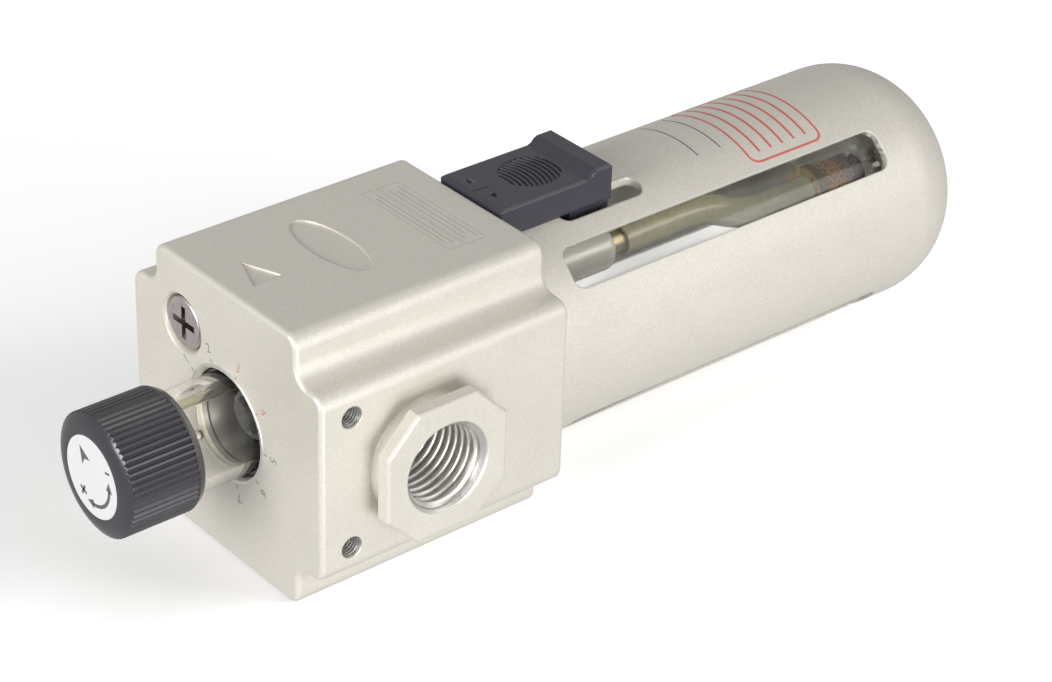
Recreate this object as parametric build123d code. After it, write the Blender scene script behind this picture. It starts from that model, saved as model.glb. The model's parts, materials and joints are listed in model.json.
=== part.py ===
from build123d import *
from math import cos, radians, sin, sqrt
import os

# Air line lubricator with a bayonet bowl, a sight dome and a metering knob.
# Millimetres, +Z up along the bowl. The flow runs along +X, from the inlet to the outlet.
# Everything is drawn about the bowl axis, with Z = 0 on the line of the ports.
# At the end it is moved so that the origin is on the inlet's axis, where its thread begins.
# The inlet's side holes take a screw a little more tightly than the outlet's.

# Body casting
body_length = 41.5
body_width = 43.0
body_depth = 42.0
side_step = 5.5
front_step = 6.6
corner_round = 2.0
step_round = 2.6
edge_round = 0.7

# Ports, with a G 1/4 thread
port_rise = 0.8
boss_reach = 4.75
plate_size = 20.0
plate_corner = 5.0
plate_thickness = 2.1
plate_edge = 0.35
port_neck_radius = 9.2
thread_major = 13.157
thread_minor = 11.445
thread_depth = 12.5
lead_in = 0.25
passage_radius = 4.4

# Side holes for spacers, M3
side_hole_inset = 4.25
side_hole_drop = 4.9
inlet_hole_radius = 1.25
outlet_hole_radius = 1.26
side_hole_depth = 6.0
side_hole_lead = 0.35

# Socket for the bowl and its guard
socket_wall = 2.4
bowl_bore_share = 0.812
bowl_bore_depth = 6.2
guard_bore_depth = 8.3
bayonet_step = 1.4
bayonet_lip = 3.0
bayonet_height = 3.5
lug_count = 4
lug_arc = 26.0
entry_arc = 32.0
lug_gap = 0.1

# Flow guide and damper, in a pocket across the passage
guide_share = 0.42
guide_step = 0.6
guide_roof_share = 0.29
guide_land = 1.0
damper_thickness = 0.8
damper_slot_gap = 0.05
damper_foot = 0.8
damper_edge_gap = 0.3
damper_cut_share = 0.45
fit_gap = 0.05

# Sight dome and what is in it
dome_radius = 7.3
dome_wall = 1.4
dome_thread_step = 0.5
dome_bore_depth = 9.0
dome_bore_chamfer = 0.65
dome_thread_length = 6.4
dome_height = 12.0
dome_neck_radius = 3.6
dome_neck_height = 3.6
dome_boss_radius = 3.0
dome_boss_drop = 2.6
dome_top_round = 1.2
dome_ring_section = 1.2
spindle_radius = 1.8
spindle_groove = 0.7
spindle_groove_play = 0.1
needle_length = 2.4
needle_radius = 0.9
needle_gap = 0.3
needle_tip_radius = 0.21
nozzle_drop = 7.8
nozzle_radius = 0.8
nozzle_bore = 0.35
nozzle_tip_radius = 0.56
nozzle_tip_length = 0.6
nozzle_head_step = 0.2
feed_angle = -53.9
feed_inset = 1.32
feed_radius = 0.8
feed_wall = 0.3
feed_seat = 1.0
channel_depth = 0.8
cup_radius = 3.7
cup_height = 5.6
cup_floor = 2.4
cup_round = 0.5
cup_rim = 0.9
lobe_radius = 2.3
lobe_angle = 125.5
lobe_inset = 0.16
lobe_drop = 1.4
drip_radius = 1.0

# Metering knob
knob_gap = 0.08
knob_lift = 9.1
knob_length = 12.0
knob_skirt = 1.1
knob_skirt_taper = 0.45
knob_bevel_height = 0.9
knob_bevel_depth = 2.6
knob_bevel_in_share = 0.32
knob_bevel_drop_share = 0.44
knob_wall = 1.2
rib_count = 60
rib_depth = 0.32
rib_gap = 0.62
knob_over_neck = 0.6
knob_web = 1.2
label_rim = 0.4
label_thickness = 0.5
label_gap = 0.05

# Oil filler plug, M6
plug_side_inset = 6.2
plug_front_inset = 10.0
plug_head_radius = 3.8
plug_head_height = 2.0
plug_seat_radius = 4.2
plug_sink = 0.25
plug_shank_radius = 2.95
plug_shank_length = 5.6
plug_ring_section = 0.9
plug_head_round = 0.35
cross_length = 5.0
cross_tip_length = 1.6
cross_width = 0.95
cross_depth = 1.4
filler_radius = 1.5
filler_inset = 1.8
filler_overrun = 2.0

# Siphon holder, screwed under the body
holder_thickness = 2.5
ear_gap = 0.2
ear_rim = 0.4
ear_width = 6.0
screw_radius = 1.25
screw_bite_share = 0.67
screw_head_radius = 2.2
screw_head_height = 1.4
screw_slot = 0.6
riser_inset = 1.45
column_radius = 3.4
column_length = 39.5
column_round = 1.4
oil_bore = 1.0
ball_radius = 1.5
ball_room = 0.2
ball_lift = 0.6
ball_rest_gap = 0.04
ball_seat_rim = 0.3
spigot_radius = 1.75
spigot_insert = 6.0
spigot_drop = 9.0
spigot_tip_length = 1.2
spigot_tip_taper = 0.35

# Siphon tube and suction filter
tube_wall = 0.6
tube_start_drop = 2.8
tube_upper_share = 0.57
tube_bend_radius = 20.0
filter_y = -0.7
filter_floor_gap = 2.0
filter_length = 10.5
filter_radius = 3.3
filter_ring_wall = 0.45
filter_ring_height = 1.8
filter_ring_shelf = 0.8
filter_floor = 1.6
filter_round = 0.8

# Bowl
bowl_length = 70.5
bowl_gap = 1.6
bowl_wall = 2.0
bowl_flange_gap = 0.1
bowl_flange_side_gap = 0.3
bowl_neck_gap = 0.2
bowl_neck_wall = 2.7
bowl_neck_room = 0.6
bowl_end_depth = 10.0
bowl_nub_radius = 1.9
bowl_nub_height = 2.4
ring_groove_depth = 1.5
ring_groove_width = 2.3
ring_play = 0.02

# Bowl guard
guard_set_in = 0.1
guard_wall = 1.2
guard_neck_gap = 0.2
guard_neck_wall = 1.0
guard_gap = 0.3
guard_end_gap = 4.4
guard_edge = 0.5
guard_shoulder = 1.0
guard_corner = 12.6
guard_crown = 1.7
window_drop = 6.9
window_length = 61.7
window_width = 6.4
window_corner = 1.9
window_count = 4

# Lock button, its legs and its spring
button_width = 13.3
button_rise = 3.3
button_length = 20.1
button_gap = 0.1
button_edge = 0.4
button_side_depth = 9.3
ridge_height = 1.1
ridge_length = 3.3
ridge_slope = 1.0
button_travel = 4.5
tongue_width = 7.0
tongue_height = 2.3
tongue_gap = 0.2
tongue_thickness = 1.2
notch_gap = 0.1
notch_top_gap = 0.3
leg_inset = 0.05
leg_width = 2.15
leg_length = 7.0
leg_end = 0.5
leg_reach = 2.3
leg_root = 0.6
hook_reach = 1.9
slot_gap = 0.3
slot_side_gap = 1.05
grip_drop = 10.5
grip_half_length = 4.7
grip_half_width = 4.3
grip_depth = 0.3
grip_grooves = 11
grip_groove_share = 0.5
grip_arc = 9.0
spring_pocket_width = 2.4
spring_pocket_top = 3.1
spring_pocket_depth = 2.4
spring_length = 10.4
spring_tab = 1.0
spring_tab_gap = 0.3
spring_radius = 0.75
spring_wire = 0.36
spring_turns = 6

# How far a cutting tool reaches past the face it opens, and the smallest length that counts
over = 1.0
eps = 0.01

# Widths and places that follow from the sizes above
arm_width = body_width - 2 * side_step
arm_depth = body_depth - 2 * front_step
inner_round = min(step_round, side_step - corner_round - eps, front_step - corner_round - eps)
port_span = body_width + 2 * boss_reach
lead_depth = (thread_major - thread_minor) / 2 + lead_in
side_hole_y = arm_depth / 2 - side_hole_inset
bayonet_radius = min(body_width, body_depth) / 2 - socket_wall
guard_bore_radius = bayonet_radius - bayonet_step
bowl_bore_radius = bayonet_radius * bowl_bore_share
neck_inner_radius = bowl_bore_radius - bowl_neck_gap - bowl_neck_wall
guard_radius = bayonet_radius - guard_set_in
bowl_radius = guard_radius - guard_wall - bowl_gap
bowl_flange_radius = guard_bore_radius - bowl_flange_side_gap
guide_radius = bowl_bore_radius * guide_share
guide_throat = passage_radius - guide_step
siphon_y = riser_inset - guide_radius
holder_radius = column_radius - siphon_y
ear_reach = neck_inner_radius - ear_gap
screw_x = ear_reach - screw_head_radius - ear_rim
plug_x = arm_width / 2 - plug_side_inset
plug_y = plug_front_inset - body_depth / 2
dome_thread_radius = dome_radius + dome_thread_step
dome_bore_radius = dome_thread_radius + fit_gap
dome_inner_radius = dome_radius - dome_wall
feed_x = (dome_inner_radius - feed_inset) * cos(radians(feed_angle))
feed_y = (dome_inner_radius - feed_inset) * sin(radians(feed_angle))
lobe_x = (dome_inner_radius - lobe_radius - lobe_inset) * cos(radians(lobe_angle))
lobe_y = (dome_inner_radius - lobe_radius - lobe_inset) * sin(radians(lobe_angle))
knob_radius = dome_radius + knob_gap + knob_wall + rib_depth
label_radius = knob_radius - knob_bevel_depth - label_rim
tube_radius = spigot_radius + tube_wall
filter_ring_radius = filter_radius + filter_ring_wall
button_front = guard_radius + button_rise
tongue_inner = guard_radius + tongue_gap
leg_x = button_width / 2 - leg_inset - leg_width / 2
leg_inner = guard_radius - leg_reach
spring_pocket_roof = guard_radius + spring_pocket_depth

# Heights that several pieces share
port_room = body_length - dome_bore_depth - bowl_bore_depth - guard_bore_depth
top_z = dome_bore_depth + port_room / 2 - port_rise
bottom_z = top_z - body_length
ceiling_z = bottom_z + bowl_bore_depth + guard_bore_depth
step_z = bottom_z + guard_bore_depth
dome_floor_z = top_z - dome_bore_depth
guide_top = passage_radius + guide_roof_share * (dome_floor_z - passage_radius)
screw_depth = screw_bite_share * (-ceiling_z - passage_radius)
bowl_neck_length = bowl_bore_depth - bowl_neck_room
guard_shoulder_z = bottom_z - guard_gap
lug_low_z = bottom_z + bayonet_lip + lug_gap
lug_top_z = bottom_z + bayonet_lip + bayonet_height - lug_gap
bowl_flange_top_z = step_z - bowl_flange_gap
button_top_z = bottom_z - button_gap
button_end_z = button_top_z - button_length
bowl_straight_z = bottom_z - bowl_length
bowl_floor_z = bowl_straight_z - bowl_end_depth + bowl_wall
nub_low_z = bowl_straight_z - bowl_end_depth - bowl_nub_height
guard_end_z = nub_low_z - guard_end_gap - guard_wall
filter_low_z = bowl_floor_z + filter_floor_gap
filter_top_z = filter_low_z + filter_length


def cylinder(radius, low, high, x=0.0, y=0.0):
    """An upright cylinder between two heights."""
    return Pos(x, y, (low + high) / 2) * Cylinder(radius, high - low)


def block(x_low, x_high, y_low, y_high, z_low, z_high):
    """A box between two corners."""
    centre = Pos((x_low + x_high) / 2, (y_low + y_high) / 2, (z_low + z_high) / 2)
    return centre * Box(x_high - x_low, y_high - y_low, z_high - z_low)


def turned(points):
    """A solid turned about Z from a closed outline of radius and height."""
    outline = Polyline(*[(radius, 0, height) for radius, height in points], close=True)
    return revolve(make_face(outline), Axis.Z, 360)


def seal_ring(centre_radius, section_radius, height, x=0.0, y=0.0):
    """An O-ring lying flat."""
    return Pos(x, y, height) * Torus(centre_radius, section_radius)


def sector(inner, outer, low, high, middle, arc):
    """A piece of a ring between two radii, centred on an angle in degrees."""
    ring = cylinder(outer, low, high) - cylinder(inner, low - eps, high + eps)
    half = radians(arc / 2)
    reach = outer / cos(half)
    corner = (reach * cos(half), reach * sin(half))
    wedge = Polyline((0, 0), (corner[0], -corner[1]), corner, close=True)
    tool = extrude(Pos(0, 0, low - eps) * make_face(wedge), high - low + 2 * eps)
    return ring & (Rot(0, 0, middle) * tool)


def both_sides(shape):
    """A shape and its copy on the other side of the YZ plane."""
    return shape + mirror(shape, Plane.YZ)


def body_block():
    """The stepped block, narrower towards the front and the back than across the ports."""
    cross = Rectangle(body_width, arm_depth) + Rectangle(arm_width, body_depth)
    inner = [v for v in cross.vertices() if is_corner(v, arm_width, arm_depth)]
    cross = fillet(inner, inner_round)
    for width, depth in ((body_width, arm_depth), (arm_width, body_depth)):
        cross = fillet([v for v in cross.vertices() if is_corner(v, width, depth)], corner_round)
    solid = extrude(Pos(0, 0, bottom_z) * cross, body_length)
    ends = solid.edges().filter_by_position(Axis.Z, top_z - eps, top_z + eps)
    ends += solid.edges().filter_by_position(Axis.Z, bottom_z - eps, bottom_z + eps)
    return fillet(ends, edge_round)


def is_corner(vertex, width, depth):
    """True for a corner of a centred rectangle of this width and depth."""
    return abs(abs(vertex.X) - width / 2) + abs(abs(vertex.Y) - depth / 2) < eps


def port_boss():
    """The outlet's round neck and its plate with cut corners."""
    plate_back = port_span / 2 - plate_thickness
    plate = extrude(Plane.YZ.offset(plate_back) * Rectangle(plate_size, plate_size), plate_thickness)
    plate = chamfer(plate.edges().filter_by(Axis.X), plate_corner)
    plate = chamfer(plate.faces().sort_by(Axis.X)[-1].edges(), plate_edge)
    neck_start = body_width / 2 - corner_round
    neck = extrude(Plane.YZ.offset(neck_start) * Circle(port_neck_radius), plate_back - neck_start)
    return plate + neck


def port_bore():
    """The outlet's threaded bore with its lead-in."""
    mouth = port_span / 2
    floor = Plane.YZ.offset(mouth - thread_depth)
    tool = extrude(floor * Circle(thread_minor / 2), thread_depth + over)
    plane = Plane.YZ.offset(mouth - lead_depth / 2)
    cone = plane * Cone(thread_minor / 2, thread_major / 2 + lead_in, lead_depth)
    return tool + cone


def side_holes(radius):
    """The two threaded holes on the outlet's side."""
    face = body_width / 2
    height = top_z - side_hole_drop
    tool = None
    for y in (-side_hole_y, side_hole_y):
        plane = Plane.YZ.offset(face - side_hole_depth)
        hole = extrude(plane * Pos(y, height) * Circle(radius), side_hole_depth + over)
        lead = Plane.YZ.offset(face - side_hole_lead / 2) * Pos(y, height)
        hole += lead * Cone(radius, radius + side_hole_lead, side_hole_lead)
        tool = hole if tool is None else tool + hole
    return tool


def bowl_socket():
    """The stepped bore under the body, with the bayonet's groove and entries."""
    tool = cylinder(bowl_bore_radius, step_z - eps, ceiling_z)
    tool += cylinder(guard_bore_radius, bottom_z - over, step_z)
    groove_low = bottom_z + bayonet_lip
    tool += cylinder(bayonet_radius, groove_low, groove_low + bayonet_height)
    for index in range(lug_count):
        middle = 360 / lug_count * (index + 0.5)
        inner = guard_bore_radius - over
        tool += sector(inner, bayonet_radius, bottom_z - over, groove_low + eps, middle, entry_arc)
    return tool


def lock_notch():
    """The notch in the underside that the lock button's tongue holds."""
    half = tongue_width / 2 + notch_gap
    front = -(tongue_inner + tongue_thickness + notch_gap)
    back = -(tongue_inner - notch_gap)
    height = tongue_height - button_gap + notch_top_gap
    return block(-half, half, front, back, bottom_z - over, bottom_z + height)


def filler_passage():
    """The filler's counterbore, its thread and the slanting way down to the bowl."""
    seat_z = top_z - plug_sink - plug_head_height - plug_ring_section
    tool = cylinder(plug_seat_radius, seat_z, top_z + over, plug_x, plug_y)
    lead = plug_seat_radius + edge_round / 2
    tool += Pos(plug_x, plug_y, top_z - edge_round / 4) * Cone(plug_seat_radius, lead, edge_round / 2)
    shank_end = top_z - plug_sink - plug_head_height - plug_shank_length
    tool += cylinder(plug_shank_radius + fit_gap, shank_end - over, seat_z + eps, plug_x, plug_y)
    start = Vector(plug_x, plug_y, shank_end)
    inward = (neck_inner_radius - filler_inset) / sqrt(plug_x**2 + plug_y**2)
    end = Vector(plug_x * inward, plug_y * inward, ceiling_z - filler_overrun)
    run = end - start
    plane = Plane(origin=start, z_dir=run)
    return tool + extrude(plane * Circle(filler_radius), run.length)


def body():
    """The die-cast body with all its bores."""
    solid = body_block() + both_sides(port_boss())
    solid -= both_sides(port_bore())
    solid -= Rot(0, 90, 0) * Cylinder(passage_radius, port_span - 2 * thread_depth + 2 * over)
    solid -= side_holes(outlet_hole_radius) + mirror(side_holes(inlet_hole_radius), Plane.YZ)
    solid -= bowl_socket()
    solid -= lock_notch()
    solid -= cylinder(guide_radius + fit_gap, ceiling_z - over, guide_top + fit_gap)
    solid -= cylinder(dome_bore_radius, dome_floor_z, top_z + over)
    rim = dome_bore_radius + dome_bore_chamfer
    solid -= Pos(0, 0, top_z - dome_bore_chamfer / 2) * Cone(dome_bore_radius, rim, dome_bore_chamfer)
    solid -= cylinder(drip_radius, 0, dome_floor_z + over)
    solid -= cylinder(nozzle_radius, 0, dome_floor_z + over, 0, siphon_y)
    solid -= filler_passage()
    for x in (-screw_x, screw_x):
        solid -= cylinder(screw_radius + fit_gap, ceiling_z - over, ceiling_z + screw_depth + fit_gap, x, 0)
    return solid


def flow_guide():
    """The moulded guide that narrows the passage and holds the damper."""
    solid = cylinder(guide_radius, ceiling_z, guide_top)
    solid -= Rot(0, 90, 0) * Cylinder(guide_throat, 4 * guide_radius)
    mouth_length = guide_radius - guide_land
    for side in (-1, 1):
        cone = Cone(passage_radius, guide_throat, mouth_length)
        centre = side * (guide_radius - mouth_length / 2 + eps)
        solid -= Pos(centre, 0, 0) * Rot(0, -90 * side, 0) * cone
    slot = damper_thickness + 2 * damper_slot_gap
    foot = guide_throat + damper_foot + damper_slot_gap
    solid -= block(-slot / 2, slot / 2, -guide_throat / 2, guide_throat / 2, -foot, 0)
    solid -= cylinder(drip_radius, 0, guide_top + over)
    solid -= cylinder(nozzle_radius, ceiling_z - over, guide_top + over, 0, siphon_y)
    return solid


def flow_damper():
    """The rubber flap that stands in the throat on a foot in the guide's floor."""
    edge = guide_throat - damper_edge_gap
    flap = Rot(0, 90, 0) * Cylinder(edge, damper_thickness)
    cut = damper_cut_share * guide_throat
    flap -= block(-damper_thickness, damper_thickness, -edge, edge, cut, guide_throat)
    width = guide_throat / 2 - damper_slot_gap
    foot = block(-damper_thickness / 2, damper_thickness / 2, -width, width, -guide_throat - damper_foot, 0)
    return flap + foot


def sight_dome():
    """The clear dome: a threaded skirt, a barrel and a neck for the spindle."""
    barrel_top = top_z + dome_height
    thread_low = dome_floor_z + dome_ring_section
    thread_top = thread_low + dome_thread_length
    neck_top = barrel_top + dome_neck_height
    solid = cylinder(dome_thread_radius, thread_low, thread_top)
    solid += cylinder(dome_radius, thread_low, barrel_top)
    rim = solid.edges().filter_by_position(Axis.Z, barrel_top - eps, barrel_top + eps)
    solid = fillet(rim, dome_top_round)
    solid += cylinder(dome_neck_radius, barrel_top - dome_wall / 2, neck_top)
    inside = cylinder(dome_inner_radius, thread_low - over, barrel_top - dome_wall)
    boss_low = barrel_top - dome_wall - dome_boss_drop
    inside -= cylinder(dome_boss_radius, boss_low, barrel_top)
    solid -= inside
    solid -= cylinder(spindle_radius + fit_gap, boss_low - over, neck_top + over)
    return solid


def drip_nozzle():
    """The metal nozzle pressed into the boss under the dome's top."""
    boss_low = top_z + dome_height - dome_wall - dome_boss_drop
    head_top = boss_low + dome_boss_drop
    tip = top_z + dome_height - nozzle_drop
    head = spindle_radius + fit_gap - ring_play
    cone = nozzle_bore + needle_radius
    return turned(
        [
            (nozzle_bore, tip),
            (nozzle_tip_radius, tip),
            (nozzle_radius, tip + nozzle_tip_length),
            (nozzle_radius, boss_low + nozzle_head_step),
            (head, boss_low + nozzle_head_step),
            (head, head_top),
            (cone, head_top),
            (nozzle_bore, head_top - needle_length + 2 * nozzle_head_step),
        ]
    )


def needle_spindle():
    """The metering spindle, with the knob's seat on top, a ring groove and a needle."""
    barrel_top = top_z + dome_height
    nozzle_top = barrel_top - dome_wall
    collar = nozzle_top + needle_gap
    groove_middle = barrel_top + dome_neck_height / 2
    half = spindle_groove / 2 + spindle_groove_play
    floor = spindle_radius - spindle_groove
    seat_top = knob_face_z() - label_thickness - knob_web
    return turned(
        [
            (0, collar - needle_length),
            (needle_tip_radius, collar - needle_length),
            (needle_radius, collar),
            (spindle_radius, collar + needle_gap),
            (spindle_radius, groove_middle - half),
            (floor, groove_middle - half),
            (floor, groove_middle + half),
            (spindle_radius, groove_middle + half),
            (spindle_radius, seat_top),
            (0, seat_top),
        ]
    )


def spindle_ring():
    """The small seal in the spindle's groove."""
    inner = spindle_radius - spindle_groove
    section = (spindle_radius + fit_gap - inner) / 2 - ring_play
    height = top_z + dome_height + dome_neck_height / 2
    return seal_ring(inner + section + ring_play / 2, min(section, spindle_groove / 2), height)


def dome_ring():
    """The seal under the dome's skirt, on the floor of its bore."""
    section = dome_ring_section / 2 - ring_play
    return seal_ring(dome_thread_radius - section - ring_play, section, dome_floor_z + dome_ring_section / 2)


def sight_floor():
    """The moulded floor of the dome, with the cup that catches the drops."""
    low = dome_floor_z
    solid = cylinder(dome_inner_radius - fit_gap, low, low + cup_floor)
    solid += cylinder(cup_radius, low, low + cup_height)
    solid += cylinder(lobe_radius, low, low + cup_height - lobe_drop, lobe_x, lobe_y)
    rim = solid.edges().filter_by_position(Axis.Z, low + cup_height - eps, low + cup_height + eps)
    solid = fillet(rim, cup_round)
    cone_depth = cup_height - cup_floor
    cone = Cone(drip_radius, cup_radius - cup_rim, cone_depth)
    solid -= Pos(0, 0, low + cup_height - cone_depth / 2 + eps) * cone
    solid -= cylinder(drip_radius, low - over, low + cup_height)
    solid -= cylinder(feed_radius + fit_gap, low + feed_seat - fit_gap, low + cup_height, feed_x, feed_y)
    solid -= channel(low)
    return solid


def channel(low):
    """The oil's way along the underside, from the riser to the feed tube."""
    start = Vector(0, siphon_y, low)
    end = Vector(feed_x, feed_y, low)
    run = end - start
    middle = (start + end) * 0.5
    turn = Vector(1, 0, 0).get_signed_angle(run, Vector(0, 0, 1))
    place = Pos(middle.X, middle.Y, low + channel_depth / 2) * Rot(0, 0, turn)
    groove = place * Box(run.length, feed_radius, channel_depth)
    ends = cylinder(feed_radius / 2, low - over, low + channel_depth, 0, siphon_y)
    ends += cylinder(feed_radius / 2, low - over, low + feed_seat, feed_x, feed_y)
    return groove + ends


def feed_tube():
    """The thin clear tube that lifts the oil to the top of the dome."""
    low = dome_floor_z + feed_seat
    high = top_z + dome_height - dome_wall - fit_gap
    solid = cylinder(feed_radius, low, high, feed_x, feed_y)
    return solid - cylinder(feed_radius - feed_wall, low - over, high + over, feed_x, feed_y)


def knob_face_z():
    """The height of the knob's face."""
    return top_z + knob_lift + knob_length


def adjusting_knob():
    """The ribbed knob, hollow over the dome and pressed on the spindle."""
    low = top_z + knob_lift
    face = knob_face_z()
    ribs_low = low + knob_skirt
    ribs_top = face - knob_bevel_height
    rim = knob_radius - knob_bevel_depth
    outer = Polyline(
        (0, 0, low),
        (knob_radius - knob_skirt_taper, 0, low),
        (knob_radius, 0, low + knob_skirt_taper * 2),
        (knob_radius, 0, ribs_top),
    )
    bevel_x = knob_radius - knob_bevel_depth * knob_bevel_in_share
    bevel_z = face - knob_bevel_height * knob_bevel_drop_share
    bevel = ThreePointArc((knob_radius, 0, ribs_top), (bevel_x, 0, bevel_z), (rim, 0, face))
    closing = Polyline((rim, 0, face), (0, 0, face), (0, 0, low))
    solid = revolve(make_face(Curve() + [outer, bevel, closing]), Axis.Z, 360)
    solid -= rib_grooves(ribs_low, ribs_top + knob_bevel_height / 2)
    solid -= cylinder(label_radius + label_gap, face - label_thickness, face + over)
    inner = dome_radius + knob_gap
    neck_top = top_z + dome_height + dome_neck_height
    solid -= cylinder(inner, low - over, top_z + dome_height + knob_over_neck)
    solid -= cylinder(dome_neck_radius + knob_over_neck, low - over, neck_top + knob_over_neck)
    seat_top = face - label_thickness - knob_web
    solid -= cylinder(spindle_radius, low - over, seat_top)
    return solid


def rib_grooves(low, high):
    """The grooves between the knob's ribs."""
    half = rib_gap / 2
    depth = knob_radius - rib_depth
    outline = Polyline((depth, 0), (knob_radius, half), (knob_radius, -half), close=True)
    groove = extrude(Pos(0, 0, low) * make_face(outline), high - low)
    return [Rot(0, 0, 360 / rib_count * index) * groove for index in range(rib_count)]


def knob_label():
    """The disc set into the knob's face."""
    face = knob_face_z()
    return cylinder(label_radius, face - label_thickness + ring_play, face)


def fill_plug():
    """The filler plug, with a cross recess in its head."""
    head_top = top_z - plug_sink
    head_low = head_top - plug_head_height
    solid = cylinder(plug_head_radius, head_low, head_top, plug_x, plug_y)
    rim = solid.edges().filter_by_position(Axis.Z, head_top - eps, head_top + eps)
    solid = fillet(rim, plug_head_round)
    solid += cylinder(plug_shank_radius, head_low - plug_shank_length, head_low, plug_x, plug_y)
    half = cross_length / 2
    tip = cross_tip_length / 2
    bottom = [(half, 0), (tip, -cross_depth), (-tip, -cross_depth), (-half, 0)]
    side = Polyline((-half, over), (half, over), *bottom, close=True)
    arm = extrude(Plane.XZ.offset(-cross_width / 2) * make_face(side), cross_width)
    for turn in (0, 90):
        solid -= Pos(plug_x, plug_y, head_top) * Rot(0, 0, turn) * arm
    return solid


def fill_plug_ring():
    """The seal under the plug's head."""
    section = plug_ring_section / 2 - ring_play
    height = top_z - plug_sink - plug_head_height - plug_ring_section / 2
    return seal_ring(plug_shank_radius + section + ring_play, section, height, plug_x, plug_y)


def siphon_holder():
    """The moulded holder: a flange with two ears and a long hollow column."""
    low = ceiling_z - holder_thickness
    solid = cylinder(holder_radius, low, ceiling_z)
    ears = extrude(Pos(0, 0, low) * SlotOverall(2 * ear_reach, ear_width), holder_thickness)
    solid += ears
    column_low = column_low_z()
    column = cylinder(column_radius, column_low, ceiling_z, 0, siphon_y)
    rim = column.edges().filter_by_position(Axis.Z, column_low - eps, column_low + eps)
    column = fillet(rim, column_round)
    solid += column
    solid -= cylinder(nozzle_radius, column_low - over, ceiling_z + over, 0, siphon_y)
    room_low = column_low + spigot_insert
    solid -= cylinder(spigot_radius, column_low - over, room_low, 0, siphon_y)
    room = ball_radius + ball_room
    room_top = room_low + ball_seat_rise() + ball_radius + ball_lift + ball_rest_gap
    solid -= cylinder(room, room_low - eps, room_top + fit_gap, 0, siphon_y)
    for x in (-screw_x, screw_x):
        solid -= cylinder(screw_radius + fit_gap, low - over, ceiling_z + over, x, 0)
    return solid


def ball_seat_rise():
    """The height of the ball's centre above the spigot's top when it sits in the cone."""
    return sqrt(2) * ball_radius - (spigot_radius - ball_seat_rim)


def column_low_z():
    """The height of the column's lower end."""
    return ceiling_z - column_length


def siphon_spigot():
    """The nipple pressed into the column, with the ball's seat on top and a barb below."""
    low = column_low_z() - spigot_drop
    top = column_low_z() + spigot_insert
    mouth = spigot_radius - ball_seat_rim
    return Pos(0, siphon_y, 0) * turned(
        [
            (oil_bore, low),
            (spigot_radius - spigot_tip_taper, low),
            (spigot_radius - ring_play, low + spigot_tip_length),
            (spigot_radius - ring_play, top),
            (mouth, top),
            (oil_bore, top - (mouth - oil_bore)),
        ]
    )


def tube_start_z():
    """The height of the siphon tube's upper end."""
    return column_low_z() - tube_start_drop


def check_ball():
    """The ball that keeps the oil from running back."""
    height = column_low_z() + spigot_insert + ball_seat_rise() + ball_rest_gap
    return Pos(0, siphon_y, height) * Sphere(ball_radius)


def siphon_path():
    """The tube's line: straight down, a gentle double bend, and straight into the filter."""
    start = tube_start_z()
    low = filter_top_z - filter_ring_shelf
    shift = filter_y - siphon_y
    bend = 2 * sqrt(tube_bend_radius * shift - shift * shift / 4)
    first = start - tube_upper_share * (start - low - bend)
    middle_y = (siphon_y + filter_y) / 2
    upper = Line((0, siphon_y, start), (0, siphon_y, first))
    turn_one = TangentArc((0, siphon_y, first), (0, middle_y, first - bend / 2), tangent=(0, 0, -1))
    turn_two = TangentArc((0, filter_y, first - bend), (0, middle_y, first - bend / 2), tangent=(0, 0, 1))
    lower = Line((0, filter_y, first - bend), (0, filter_y, low))
    return Curve() + [upper, turn_one, turn_two, lower]


def siphon_tube():
    """The translucent suction tube, pushed on the spigot and into the filter's ring."""
    path = siphon_path()
    plane = Plane(origin=(0, siphon_y, tube_start_z()), z_dir=(0, 0, -1))
    ring = Circle(tube_radius) - Circle(spigot_radius)
    return sweep(plane * ring, path)


def filter_ring():
    """The brass ring that joins the tube and the filter."""
    high = filter_top_z
    low = high - filter_ring_height
    shelf = high - filter_ring_shelf - ring_play
    seat = filter_radius + ring_play
    bore = tube_radius + ring_play
    profile = [
        (bore, high),
        (filter_ring_radius, high),
        (filter_ring_radius, low),
        (seat, low),
        (seat, shelf),
        (bore, shelf),
    ]
    return Pos(0, filter_y, 0) * turned(profile)


def suction_filter():
    """The sintered filter, a hollow cup with a round end."""
    top = filter_top_z - filter_ring_shelf - 2 * ring_play
    low = filter_low_z
    solid = cylinder(filter_radius, low, top, 0, filter_y)
    rim = solid.edges().filter_by_position(Axis.Z, low - eps, low + eps)
    solid = fillet(rim, filter_round)
    return solid - cylinder(spigot_radius, low + filter_floor, top + over, 0, filter_y)


def holder_screws():
    """The two screws that hold the siphon holder to the body."""
    head_top = ceiling_z - holder_thickness
    head_low = head_top - screw_head_height
    screw = cylinder(screw_radius, head_low, ceiling_z + screw_depth, screw_x)
    screw += cylinder(screw_head_radius, head_low, head_top, screw_x)
    screw -= block(0, 2 * screw_x, -screw_slot / 2, screw_slot / 2, head_low - over, head_low + screw_slot)
    return both_sides(screw)


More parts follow.
